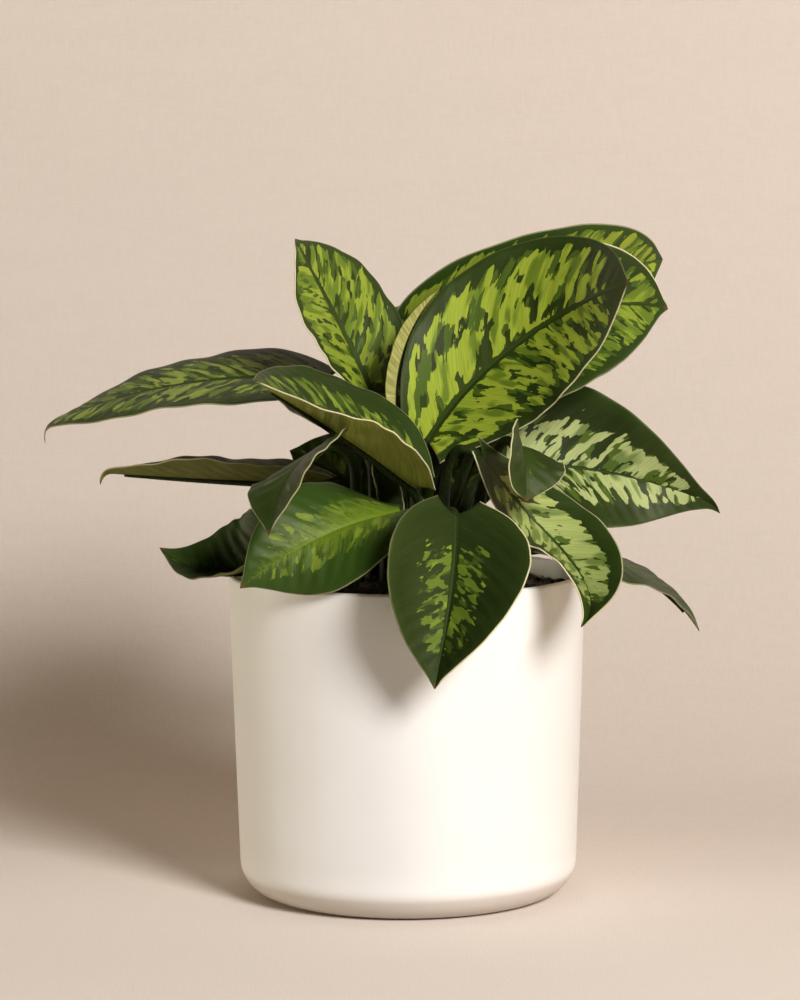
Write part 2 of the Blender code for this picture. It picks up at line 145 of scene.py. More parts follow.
# Leaf looks: marbling 0 to 1, its reach towards the margin, where along the leaf it starts and ends,
# lime 0 to silver 1, brightness of the patches 0 to 1, partly the leaf's own tone and partly painted
# shade, set low on leaves that lie in shade, which also darkens their patches and undersides, the
# pattern's seed, how strongly the cream line shows on the left and the right margin, how fresh a
# green the ground is, 0 to 1, and how many times finer than on the big leaf the patches are
LOOK_COLUMNS = "marbling reach starts ends silver bright seed line_left line_right fresh fine".split()
LOOKS = {
    "big": (0.83, 0.90, -0.1, 0.86, 0.0, 0.97, 1, 0.05, 0.7, 0.1, 0.95),
    "behind": (0.84, 1.0, 0.0, 1.0, 0.0, 1.00, 2, 0.3, 0.1, 0.75, 1.0),
    "right_high": (0.8, 0.9, 0.1, 1.0, 0.0, 0.50, 3, 0.8, 0.2, 0.2, 1.0),
    "silver": (0.82, 0.60, 0.0, 0.88, 1.0, 0.95, 4, 0.1, 0.1, 0.0, 1.15),
    "low_right": (0.98, 0.7, 0.12, 0.85, 0.7, 0.9, 5, 0.5, 1.0, 0.1, 1.2),
    "small_right": (0.35, 0.6, 0.3, 0.9, 0.2, 0.0, 6, 0.5, 0.8, 0.1, 1.5),
    "thin_right": (0.40, 0.5, 0.1, 0.9, 0.4, 0.1, 7, 0.3, 0.2, 0.2, 1.4),
    "front": (0.68, 0.5, 0.2, 0.85, 0.0, 0.35, 8, 0.9, 0.1, 0.0, 1.5),
    "low_left": (0.66, 0.55, 0.0, 0.85, 0.0, 0.45, 9, 0.3, 0.2, 1.0, 1.3),
    "small_left": (0.25, 0.6, 0.1, 0.9, 0.2, 0.0, 10, 0.4, 0.3, 0.1, 1.5),
    "dark_left": (0.4, 0.5, 0.1, 0.9, 0.0, 0.0, 11, 0.1, 0.1, 0.4, 1.3),
    "keeled_left": (0.55, 0.7, 0.1, 0.9, 0.1, 0.2, 12, 0.4, 0.4, 0.0, 1.3),
    "far_left": (0.76, 0.8, 0.05, 0.95, 0.2, 0.6, 13, 0.3, 0.3, 0.1, 1.2),
    "upright": (0.84, 0.95, 0.0, 1.0, 0.0, 0.65, 14, 0.9, 0.1, 0.1, 1.1),
    "curled_left": (0.72, 0.75, 0.1, 0.95, 0.1, 0.45, 15, 0.9, 0.4, 0.2, 1.15),
    "inner_left": (0.40, 0.6, 0.1, 0.9, 0.0, 0.1, 16, 0.4, 0.4, 0.0, 1.0),
    "back_right": (0.82, 0.85, 0.0, 0.95, 0.2, 0.6, 17, 0.5, 0.5, 0.1, 1.0),
    "back_high": (0.84, 0.9, 0.0, 0.95, 0.0, 0.7, 18, 0.5, 0.5, 0.2, 1.0),
    "back_left": (0.80, 0.7, 0.0, 0.9, 0.6, 0.6, 19, 0.5, 0.5, 0.1, 1.0),
    "back_low_right": (0.60, 0.6, 0.1, 0.9, 0.1, 0.2, 20, 0.4, 0.4, 0.0, 1.0),
    "back_low_left": (0.56, 0.6, 0.1, 0.9, 0.0, 0.2, 21, 0.4, 0.4, 0.0, 1.0),
    "young": (0.0, 1.0, 0.0, 1.0, 0.0, 0.5, 22, 0.0, 0.0, 0.0, 1.0),
}
LOOKS = {name: dict(zip(LOOK_COLUMNS, row)) for name, row in LOOKS.items()}
SILVER_SLOT = ("silver", "low_right")
DARK_SLOT = ("small_right", "thin_right", "small_left", "dark_left", "keeled_left", "far_left", "inner_left")


BACK_WATTS = 6.0

# Shader expressions


class Wire:
    """A shader socket that takes part in an expression; each operator adds its Math node."""

    def __init__(self, look, socket):
        self.look = look
        self.socket = socket

    def _math(self, operation, *values):
        return self.look.node("ShaderNodeMath", dict(operation=operation), dict(enumerate(values)))

    def __add__(self, other):
        return self._math("ADD", self, other)

    def __radd__(self, other):
        return self._math("ADD", other, self)

    def __sub__(self, other):
        return self._math("SUBTRACT", self, other)

    def __rsub__(self, other):
        return self._math("SUBTRACT", other, self)

    def __mul__(self, other):
        return self._math("MULTIPLY", self, other)

    def __rmul__(self, other):
        return self._math("MULTIPLY", other, self)

    def __truediv__(self, other):
        return self._math("DIVIDE", self, other)

    def __neg__(self):
        return self._math("MULTIPLY", self, -1.0)

    def __abs__(self):
        return self._math("ABSOLUTE", self)

    def over(self, edge):
        return self._math("GREATER_THAN", self, edge)

    def sine(self):
        return self._math("SINE", self)

    def least(self, other):
        return self._math("MINIMUM", self, other)

    def most(self, other):
        return self._math("MAXIMUM", self, other)

    def ramp(self, low, high, start=0.0, end=1.0):
        """Rises smoothly from start to end as the value goes from low to high."""
        settings = dict(interpolation_type="SMOOTHSTEP", clamp=True)
        places = {"Value": self, "From Min": low, "From Max": high, "To Min": start, "To Max": end}
        return self.look.node("ShaderNodeMapRange", settings, places)


class Look:
    """A material round one Principled shader. Keywords set its plain sockets."""

    def __init__(self, name, **plain):
        self.material = bpy.data.materials.new(name)
        self.material.use_nodes = True
        self.tree = self.material.node_tree
        self.shader = self.tree.nodes["Principled BSDF"]
        for key, value in plain.items():
            self.shader.inputs[key.replace("_", " ")].default_value = value

    def node(self, kind, settings=None, values=None, out=0):
        made = self.tree.nodes.new(kind)
        for key, value in (settings or {}).items():
            setattr(made, key, value)
        for key, value in (values or {}).items():
            self.plug(made.inputs[key], value)
        return Wire(self, made.outputs[out])

    def plug(self, socket, value):
        if isinstance(value, Wire):
            self.tree.links.new(value.socket, socket)
        elif isinstance(value, tuple) and len(value) == 3 and socket.type == "RGBA":
            socket.default_value = (*value, 1.0)
        else:
            socket.default_value = value

    def set(self, key, value):
        self.plug(self.shader.inputs[key], value)

    def mix(self, share, a, b, blend="MIX"):
        """Colour a where share is 0, colour b where it is 1."""
        settings = dict(data_type="RGBA", blend_type=blend, clamp_factor=True)
        return self.node("ShaderNodeMix", settings, {0: share, 6: a, 7: b}, out=2)

    def attribute(self, name):
        """The three numbers of a mesh attribute."""
        whole = self.node("ShaderNodeAttribute", dict(attribute_name=name), out=1)
        return self.split(whole)

    def split(self, vector):
        self.node("ShaderNodeSeparateXYZ", None, {0: vector})
        made = self.tree.nodes[-1]
        return [Wire(self, made.outputs[k]) for k in range(3)]

    def vector(self, x, y, z):
        return self.node("ShaderNodeCombineXYZ", None, {0: x, 1: y, 2: z})

    def object_place(self):
        return self.node("ShaderNodeTexCoord", out=3)

    def noise(self, place, scale=1.0, detail=2.0, rough=0.5, warp=0.0):
        values = {"Vector": place, "Scale": scale, "Detail": detail, "Roughness": rough, "Distortion": warp}
        return self.node("ShaderNodeTexNoise", None, values)

    def bump(self, height, distance, strength=1.0):
        values = {"Strength": strength, "Distance": distance, "Height": height}
        self.set("Normal", self.node("ShaderNodeBump", None, values))


# Leaf shape, the same formula as the solids'


def ease(t):
    t = np.clip(t, 0.0, 1.0)
    return t * t * (3.0 - 2.0 * t)


def smooth_curve(x, at, values):
    """A cubic through the listed points that never overshoots them."""
    at = np.asarray(at, float)
    values = np.asarray(values, float)
    step = np.diff(at)
    slope = np.diff(values) / step
    tangent = np.concatenate([slope[:1], np.zeros(len(slope) - 1), slope[-1:]])
    for i in range(1, len(slope)):
        if slope[i - 1] * slope[i] > 0:
            a = 2 * step[i] + step[i - 1]
            b = step[i] + 2 * step[i - 1]
            tangent[i] = (a + b) / (a / slope[i - 1] + b / slope[i])
    k = np.clip(np.searchsorted(at, x) - 1, 0, len(at) - 2)
    t = (x - at[k]) / step[k]
    start = (1 + 2 * t) * (1 - t) ** 2 * values[k] + t * (1 - t) ** 2 * step[k] * tangent[k]
    end = t * t * (3 - 2 * t) * values[k + 1] + t * t * (t - 1) * step[k] * tangent[k + 1]
    return start + end


def midrib(leaf):
    """Stations along the midrib: position, forward, leftward and upper-side directions."""
    s = np.linspace(0, 1, MIDRIB_STEPS + 1)
    heading = np.radians(leaf["heading"] + leaf["turn"] * s)
    pitch = leaf["pitch0"] + (leaf["pitch1"] - leaf["pitch0"]) * s
    pitch = np.radians(pitch + leaf["nod"] * ease((s - NOD_FROM) / (1 - NOD_FROM)))
    roll = np.radians(leaf["roll0"] + (leaf["roll1"] - leaf["roll0"]) * s)[:, None]
    flat = np.cos(pitch)
    ahead = np.stack([flat * np.cos(heading), flat * np.sin(heading), np.sin(pitch)], -1)
    steps = (ahead[1:] + ahead[:-1]) / 2 * (leaf["length"] / MIDRIB_STEPS)
    base = np.array([leaf["x"], leaf["y"], leaf["z"]], float)
    place = base + np.concatenate([np.zeros((1, 3)), np.cumsum(steps, 0)])
    level = np.stack([-np.sin(heading), np.cos(heading), 0 * heading], -1)
    upright = np.cross(ahead, level)
    left = np.cos(roll) * level + np.sin(roll) * upright
    upper = -np.sin(roll) * level + np.cos(roll) * upright
    return s, place, ahead, left, upper


def along(x, s, vectors):
    return np.stack([np.interp(x, s, vectors[:, k]) for k in range(3)], -1)


def half_width(leaf, s):
    return leaf["width"] / 2 * smooth_curve(s ** leaf["skew"], OUTLINE_AT, OUTLINE_HALF)


def blade_points(leaf, s, v):
    """Blade surface at s along the midrib, 0 to 1, and v across it, 1 the left edge, -1 the right:
    each half leaves the midrib at its fold angle, curls on the way out and waves at the margin."""
    at, place, ahead, left, upper = midrib(leaf)
    reach = np.abs(v)
    lobe = LOBE / leaf["length"] * reach**1.5 * np.clip(1 - s / LOBE_REACH, 0, 1) ** 2
    station = s - lobe
    on_rib = np.clip(station, 0, 1)
    forward = along(on_rib, at, ahead)
    centre = along(on_rib, at, place) + forward * ((station - on_rib) * leaf["length"])[..., None]
    half = half_width(leaf, s)
    fold_left = leaf["left0"] + (leaf["left1"] - leaf["left0"]) * s
    fold_right = leaf["right0"] + (leaf["right1"] - leaf["right0"]) * s
    fold = np.where(v > 0, fold_left, fold_right)
    curl = np.where(v > 0, leaf["curl_left"], leaf["curl_right"])
    across = np.zeros_like(reach)
    lift = np.zeros_like(reach)
    for k in range(CURL_STEPS):
        part = reach * (k + 0.5) / CURL_STEPS
        slope = np.radians(fold + curl * part**2)
        across += np.cos(slope) * reach / CURL_STEPS * half
        lift += np.sin(slope) * reach / CURL_STEPS * half
    small = min(1.0, leaf["width"] / 40)
    phase = 2 * np.pi * (WAVES * s + 0.25 * (v > 0))
    lift += WAVE * small * reach**2 * np.sin(phase) * np.sin(np.pi * s)
    ripple = np.sin(2 * np.pi * RIPPLES * s + 2.6 * (v > 0) + leaf["length"])
    lift += RIPPLE * small * reach**4 * ripple * np.sin(np.pi * s)
    sideways = along(on_rib, at, left) * (across * np.sign(v))[..., None]
    return centre + sideways + along(on_rib, at, upper) * lift[..., None]


def unit(vectors):
    return vectors / np.maximum(np.linalg.norm(vectors, axis=-1, keepdims=True), 1e-9)


def blade_grid(leaf):
    """Rings round the blade: the upper side from right to left, then the underside back again.
    Each side stands half the leaf's thickness off the blade surface, less the groove over the midrib,
    plus the low swells between side veins; a middle point rounds the margin."""
    t = np.linspace(0, 1, BLADE_ROWS)
    rows = (0.5 * t + 0.5 * np.sin(t * np.pi / 2))[:-1]
    x = np.linspace(-1, 1, BLADE_COLUMNS)
    columns = np.sign(x) * np.abs(x) ** COLUMN_CROWD
    s, v = np.meshgrid(rows, columns, indexing="ij")
    middle = blade_points(leaf, s, v)
    normal = unit(np.cross(np.gradient(middle, axis=0), np.gradient(middle, axis=1)))
    facing = along(s, *(midrib(leaf)[k] for k in (0, 4)))
    normal *= np.sign(np.sum(normal * facing, -1, keepdims=True))
    half = half_width(leaf, s)
    across = v * half
    from_rib = np.abs(across)
    station = s * leaf["length"]
    vein = station - VEIN_SLANT * from_rib - VEIN_BEND * from_rib**2
    fade = ease(from_rib / 5) * ease((1 - np.abs(v)) / 0.35) * ease((1 - s) / 0.2)
    swell = QUILT * fade * np.cos(2 * np.pi * vein / VEIN_GAP)
    groove = GROOVE * np.exp(-((from_rib / GROOVE_R) ** 2)) * (1 - s) ** 0.5
    taper = np.minimum(1.0, 0.35 + half / 6)
    top = middle + normal * (HALF_THICK * taper + swell - groove)[..., None]
    low = middle + normal * (-HALF_THICK * taper + swell - 0.6 * groove)[..., None]
    outward = unit(middle[:, [0, -1]] - middle[:, [1, -2]]) * HALF_THICK * 0.8 * taper[:, [0, -1], None]
    edge = middle[:, [0, -1]] + outward
    ring = np.concatenate([top, edge[:, 1:], low[:, ::-1], edge[:, :1]], axis=1)
    margin = (1 - np.abs(v)) * half
    facts = np.stack([across, station, margin], -1)
    rim = facts[:, [0, -1]]
    ring_facts = np.concatenate([facts, rim[:, 1:], facts[:, ::-1], rim[:, :1]], axis=1)
    under = np.zeros(ring.shape[:2])
    under[:, BLADE_COLUMNS + 1 : -1] = 1.0
    under[:, [BLADE_COLUMNS, -1]] = 0.5
    tip = blade_points(leaf, np.array([1.0]), np.array([0.0]))[0]
    return ring, ring_facts, under, tip


def grid_faces(rows, columns, wrap, first=0):
    """Quads between neighbouring rings of a grid, as four corners each."""
    i = np.arange(rows - 1)[:, None]
    j = np.arange(columns if wrap else columns - 1)[None, :]
    k = (j + 1) % columns
    corners = (i * columns + j, i * columns + k, (i + 1) * columns + k, (i + 1) * columns + j)
    return first + np.stack([c + 0 * (i + j) for c in corners], -1).reshape(-1, 4)


def mesh_piece(name, points, faces, material):
    """A smooth mesh object from points in millimetres; a corner listed twice makes a triangle."""
    mesh = bpy.data.meshes.new(name)
    lists = []
    for corners in faces:
        corners = list(dict.fromkeys(int(c) for c in corners))
        if len(corners) > 2:
            lists.append(corners)
    mesh.from_pydata((np.asarray(points) * MM).tolist(), [], lists)
    mesh.polygons.foreach_set("use_smooth", np.ones(len(lists), bool))
    mesh.materials.append(material)
    mesh.update()
    made = bpy.data.objects.new(name, mesh)
    bpy.context.scene.collection.objects.link(made)
    return made


def give(made, name, values):
    """Stores three numbers at each point for the material to read."""
    store = made.data.attributes.new(name, "FLOAT_VECTOR", "POINT")
    store.data.foreach_set("vector", np.asarray(values, np.float32).ravel())


def stalk_frame(leaf):
    """Centre points, radii, and the side that faces up, along the stalk and on under the blade."""
    at, place, ahead, left, upper = midrib(leaf)
    slim = min(1.0, leaf["width"] / 30)
    root = np.array([leaf["root_x"], leaf["root_y"], SOIL_EDGE_Z + SOIL_MOUND - STALK_DEPTH])
    top = place[0] - upper[0] * STALK_R[1] * RIB_SINK[0] * slim
    rise = top - root
    reach = np.linalg.norm(rise)
    arrive = leaf["arch"] * rise / reach + ahead[0]
    arrive /= np.linalg.norm(arrive)
    straight = np.clip(STALK_UPRIGHT / reach, 0.58, 0.65) * reach
    inner = (root + np.array([0, 0, straight]), top - arrive * 0.3 * reach)
    t = np.linspace(0, 1, STALK_ROWS)[:, None]
    bezier = (1 - t) ** 3 * root + 3 * (1 - t) ** 2 * t * inner[0] + 3 * (1 - t) * t**2 * inner[1] + t**3 * top
    stalk_r = STALK_R[0] + (STALK_R[1] * slim - STALK_R[0]) * t[:, 0]
    rib_at = np.linspace(0.02, RIB_END, RIB_ROWS)
    rib_r = slim * (RIB_R[0] + (RIB_R[1] - RIB_R[0]) * rib_at / RIB_END)
    sink = RIB_SINK[0] + (RIB_SINK[1] - RIB_SINK[0]) * ease(rib_at / 0.12)
    rib = along(rib_at, at, place) - along(rib_at, at, upper) * (rib_r * sink)[:, None]
    path = np.concatenate([bezier, rib])
    radii = np.concatenate([stalk_r, rib_r])
    soft = path.copy()
    for _ in range(3):
        soft[1:-1] = (soft[:-2] + 2 * soft[1:-1] + soft[2:]) / 4
    path[STALK_ROWS - 8 : STALK_ROWS + 3] = soft[STALK_ROWS - 8 : STALK_ROWS + 3]
    facing = np.repeat(upper[:1], len(path), 0)
    facing[STALK_ROWS:] = along(rib_at, at, upper)
    return path, radii, facing


def tube(path, radii, facing, sides, channel=0.0):
    """Rings of a tube along a path; the side towards facing is pressed in a little."""
    tangent = unit(np.gradient(path, axis=0))
    side = unit(np.cross(tangent, facing))
    up = np.cross(side, tangent)
    turn = np.linspace(0, 2 * np.pi, sides, endpoint=False)
    press = 1 - channel * np.clip(np.sin(turn), 0, 1) ** 4
    ring = side[:, None] * np.cos(turn)[None, :, None] + up[:, None] * (np.sin(turn) * press)[None, :, None]
    return path[:, None] + ring * radii[:, None, None]


def marbling_level(leaf, facts, plan):
    """How high the marbling noise must rise to show: lowest in the zone that the leaf's plan gives,
    highest at the margin and past the plan's start and end."""
    share = facts[..., 1] / leaf["length"]
    half = np.abs(facts[..., 0]) + facts[..., 2]
    outward = np.abs(facts[..., 0]) / np.maximum(half, 1.0)
    zone = ease((plan["reach"] - outward) / 0.3 + 0.5) * ease(facts[..., 2] / 4.0)
    zone = zone * ease((share - plan["starts"]) / 0.12 + 0.5) * ease((plan["ends"] - share) / 0.12 + 0.5)
    return 0.80 - 0.40 * plan["marbling"] * zone


def leaf_piece(name, leaf, plan, blade_look, stalk_look):
    """One leaf: the blade's closed shell and the stalk's closed tube in one mesh."""
    ring, facts, under, tip = blade_grid(leaf)
    rows, wide = ring.shape[:2]
    count = rows * wide
    blade = grid_faces(rows, wide, wrap=True)
    last = (rows - 1) * wide
    j = np.arange(wide)
    fan = np.stack([last + j, last + (j + 1) % wide, 0 * j + count, 0 * j + count], -1)
    half = BLADE_COLUMNS
    j = np.arange(half - 1)
    cap = np.stack([j + 1, j, 2 * half - j, 2 * half - j - 1], -1)
    ends = np.array([[half, half - 1, half + 1, half + 1], [2 * half + 1, 2 * half, 0, 0]])
    path, radii, facing = stalk_frame(leaf)
    stalk = tube(path, radii, facing, STALK_SIDES, CHANNEL)
    first = count + 1
    tube_faces = grid_faces(len(path), STALK_SIDES, wrap=True, first=first)
    ends_at = first + len(path) * STALK_SIDES
    j = np.arange(STALK_SIDES)
    k = (j + 1) % STALK_SIDES
    foot = np.stack([first + k, first + j, 0 * j + ends_at, 0 * j + ends_at], -1)
    top = ends_at - STALK_SIDES
    head = np.stack([top + j, top + k, 0 * j + ends_at + 1, 0 * j + ends_at + 1], -1)
    points = np.concatenate([ring.reshape(-1, 3), tip[None], stalk.reshape(-1, 3), path[[0, -1]]])
    faces = np.concatenate([blade, fan, cap, ends, tube_faces, foot, head])
    made = mesh_piece("marbled_" + name, points, faces, blade_look)
    made.data.materials.append(stalk_look)
    slots = np.zeros(len(made.data.polygons), np.int32)
    slots[-(len(tube_faces) + len(foot) + len(head)) :] = 1
    made.data.polygons.foreach_set("material_index", slots)
    outward_faces(made)
    length = leaf["length"]
    share = np.linspace(0, 1, len(path))
    stalk_facts = np.stack([0 * share, share * length, 0 * share + 5], -1)
    stalk_facts = np.repeat(stalk_facts[:, None], STALK_SIDES, 1).reshape(-1, 3)
    places = np.concatenate([facts.reshape(-1, 3), [[0, length, 0]], stalk_facts, stalk_facts[[0, -1]]])
    give(made, "blade_place", places)
    sides = np.stack([under.ravel(), length - facts[..., 1].ravel(), 0 * under.ravel() + plan["seed"]], -1)
    stalk_sides = np.zeros_like(stalk_facts) + (0, 30, plan["seed"])
    stalk_sides[:, 0] = stalk_facts[:, 1] / length
    sides = np.concatenate([sides, [[0.5, 0.0, plan["seed"]]], stalk_sides, stalk_sides[[0, -1]]])
    give(made, "blade_side", sides)
    tone = np.zeros((len(points), 3)) + (0.8, plan["silver"], plan["bright"])
    tone[:count, 0] = marbling_level(leaf, facts, plan).ravel()
    if name == "young":
        tone[:, 0] = 2.0
    give(made, "blade_tone", tone)
    line = np.zeros((len(points), 3))
    left_side = facts[..., 0].ravel() > 0
    line[:count, 0] = np.where(left_side, plan["line_left"], plan["line_right"])
    line[:, 1] = plan["fresh"]
    line[:, 2] = plan["fine"]
    give(made, "blade_line", line)
    return made


def outward_faces(made):
    """Turns each closed shell's faces outwards."""
    shape = bmesh.new()
    shape.from_mesh(made.data)
    bmesh.ops.recalc_face_normals(shape, faces=shape.faces)
    shape.to_mesh(made.data)
    shape.free()
    made.data.polygons.foreach_set("use_smooth", np.ones(len(made.data.polygons), bool))


# Pot and potting mix


def corner(centre_r, centre_z, radius, start, end, steps):
    """Points of a rounded corner, from one angle to another."""
    turn = np.radians(np.linspace(start, end, steps))
    return [(centre_r + radius * np.cos(a), centre_z + radius * np.sin(a)) for a in turn]


def turned(name, profile, turns, material):
    """A profile of radius and height, from the axis to the axis, turned about Z."""
    profile = np.array(profile)
    turn = np.linspace(0, 2 * np.pi, turns, endpoint=False)
    rings = profile[1:-1]
    radius = rings[:, :1]
    grid = np.stack([radius * np.cos(turn), radius * np.sin(turn), rings[:, 1:] + 0 * turn], -1)
    count = len(rings) * turns
    j = np.arange(turns)
    k = (j + 1) % turns
    start = np.stack([j, k, 0 * j + count, 0 * j + count], -1)
    last = (len(rings) - 1) * turns
    end = np.stack([last + k, last + j, 0 * j + count + 1, 0 * j + count + 1], -1)
    ends = np.array([[0, 0, profile[0, 1]], [0, 0, profile[-1, 1]]])
    faces = np.concatenate([grid_faces(len(rings), turns, wrap=True), start, end])
    made = mesh_piece(name, np.concatenate([grid.reshape(-1, 3), ends]), faces, material)
    outward_faces(made)
    return made


def pot_piece(look):
    """Inner floor, inner wall, rounded rim, tapered outer wall, rounded foot and flat base."""
    inner_corner = POT_CORNER_R - POT_WALL
    inner_foot_r = POT_FOOT_R - POT_WALL
    rim_in = POT_TOP_R - POT_WALL
    profile = [(0.0, POT_FLOOR), (20.0, POT_FLOOR), (40.0, POT_FLOOR)]
    profile += corner(inner_foot_r - inner_corner, POT_FLOOR + inner_corner, inner_corner, -90, 0, 12)
    profile += [(inner_foot_r + (rim_in - inner_foot_r) * t, 15 + (POT_TOP_Z - 17) * t) for t in (0.2, 0.5, 0.8)]
    lip_z = POT_TOP_Z - POT_RIM_ROUND
    profile += corner(rim_in + POT_RIM_ROUND, lip_z, POT_RIM_ROUND, 180, 90, 7)
    profile += corner(POT_TOP_R - POT_RIM_ROUND, lip_z, POT_RIM_ROUND, 90, 0, 7)
    for t in (0.06, 0.2, 0.4, 0.6, 0.8, 0.94):
        profile.append((POT_TOP_R + (POT_FOOT_R - POT_TOP_R) * t, lip_z + (POT_CORNER_R - lip_z) * t))
    profile += corner(POT_FOOT_R - POT_CORNER_R, POT_CORNER_R, POT_CORNER_R, 0, -90, 20)
    profile += [(50.0, 0.0), (25.0, 0.0), (0.0, 0.0)]
    return turned("cream_pot", profile, POT_TURNS, look)


def lumps(x, y):
    """Height of the loose mix: sums of crossed waves of four sizes."""
    height = 0 * x
    for size, tall, angle in ((21, 0.7, 0.4), (9, 0.6, 1.9), (4.3, 0.45, 2.8), (2.1, 0.25, 0.9)):
        a = x * np.cos(angle) + y * np.sin(angle)
        b = y * np.cos(angle) - x * np.sin(angle)
        height += tall * np.sin(2 * np.pi * a / size + 2 * np.sin(b / size)) * np.cos(2 * np.pi * b / size * 0.83)
    return height


def soil_top_r():
    inner_foot_r = POT_FOOT_R - POT_WALL
    rim_in = POT_TOP_R - POT_WALL
    foot_z = POT_FLOOR + POT_CORNER_R - POT_WALL
    return inner_foot_r + (rim_in - inner_foot_r) * (SOIL_EDGE_Z - foot_z) / (POT_TOP_Z - foot_z) - SOIL_GAP


def soil_piece(look, rng):
    """The plug of mix: a lumpy mound on rings, walls down inside the pot, and loose crumbs on top."""
    edge = soil_top_r()
    turn = np.linspace(0, 2 * np.pi, SOIL_TURNS, endpoint=False)
    share = np.linspace(1 / SOIL_RINGS, 1, SOIL_RINGS)[:, None]
    x = share * edge * np.cos(turn)
    y = share * edge * np.sin(turn)
    z = SOIL_EDGE_Z + SOIL_MOUND * (1 - share**2) + lumps(x, y) - 0.6
    shoulder = POT_CORNER_R - POT_WALL
    foot_r = POT_FOOT_R - POT_WALL - SOIL_GAP
    foot_z = POT_FLOOR + shoulder
    walls = []
    for radius, height in ((foot_r, foot_z), (foot_r - 0.4 * shoulder, foot_z - 0.8 * shoulder), (foot_r - shoulder, 4.3)):
        walls.append(np.stack([radius * np.cos(turn), radius * np.sin(turn), 0 * turn + height], -1))
    rings = np.concatenate([np.stack([x, y, z], -1), np.array(walls)])
    count = len(rings) * SOIL_TURNS
    j = np.arange(SOIL_TURNS)
    k = (j + 1) % SOIL_TURNS
    top = np.stack([k, j, 0 * j + count, 0 * j + count], -1)
    last = (len(rings) - 1) * SOIL_TURNS
    base = np.stack([last + j, last + k, 0 * j + count + 1, 0 * j + count + 1], -1)
    ends = np.array([[0, 0, SOIL_EDGE_Z + SOIL_MOUND - 0.6], [0, 0, 4.3]])
    points = [rings.reshape(-1, 3), ends]
    faces = [grid_faces(len(rings), SOIL_TURNS, wrap=True), top, base]
    ball, ball_faces = crumb_shape()
    start = count + 2
    for _ in range(SOIL_CRUMBS):
        radius = edge * 0.97 * np.sqrt(rng.random())
        angle = 2 * np.pi * rng.random()
        size = CRUMB_R[0] + (CRUMB_R[1] - CRUMB_R[0]) * rng.random() ** 2.5
        cx = radius * np.cos(angle)
        cy = radius * np.sin(angle)
        cz = SOIL_EDGE_Z + SOIL_MOUND * (1 - (radius / edge) ** 2) + lumps(cx, cy) - 0.6 + 0.3 * size
        stretch = np.array([1.0, 0.5 + 0.5 * rng.random(), 0.4 + 0.4 * rng.random()])
        spun = ball * (1 + 0.35 * (rng.random((len(ball), 1)) - 0.5)) * stretch * size
        turn_by = 2 * np.pi * rng.random()
        c, s = np.cos(turn_by), np.sin(turn_by)
        spun = spun @ np.array([[c, s, 0], [-s, c, 0], [0, 0, 1]])
        points.append(spun + [cx, cy, cz])
        faces.append(ball_faces + start)
        start += len(ball)
    made = mesh_piece("potting_mix", np.concatenate(points), np.concatenate(faces), look)
    outward_faces(made)
    return made


def crumb_shape():
    """A small rough ball of 24 faces: two poles and two rings of six."""
    turn = np.linspace(0, 2 * np.pi, 6, endpoint=False)
    rings = [(0.85, 0.45, 0.0), (0.85, -0.45, 0.5)]
    points = [(0, 0, 1.0)]
    for radius, height, shift in rings:
        points += [(radius * np.cos(a + shift), radius * np.sin(a + shift), height) for a in turn]
    points.append((0, 0, -1.0))
    faces = []
    for j in range(6):
        k = (j + 1) % 6
        faces += [(0, 1 + j, 1 + k, 1 + k), (1 + j, 7 + j, 1 + k, 1 + k), (1 + k, 7 + j, 7 + k, 7 + k), (13, 7 + k, 7 + j, 7 + j)]
    return np.array(points), np.array(faces)


# Materials


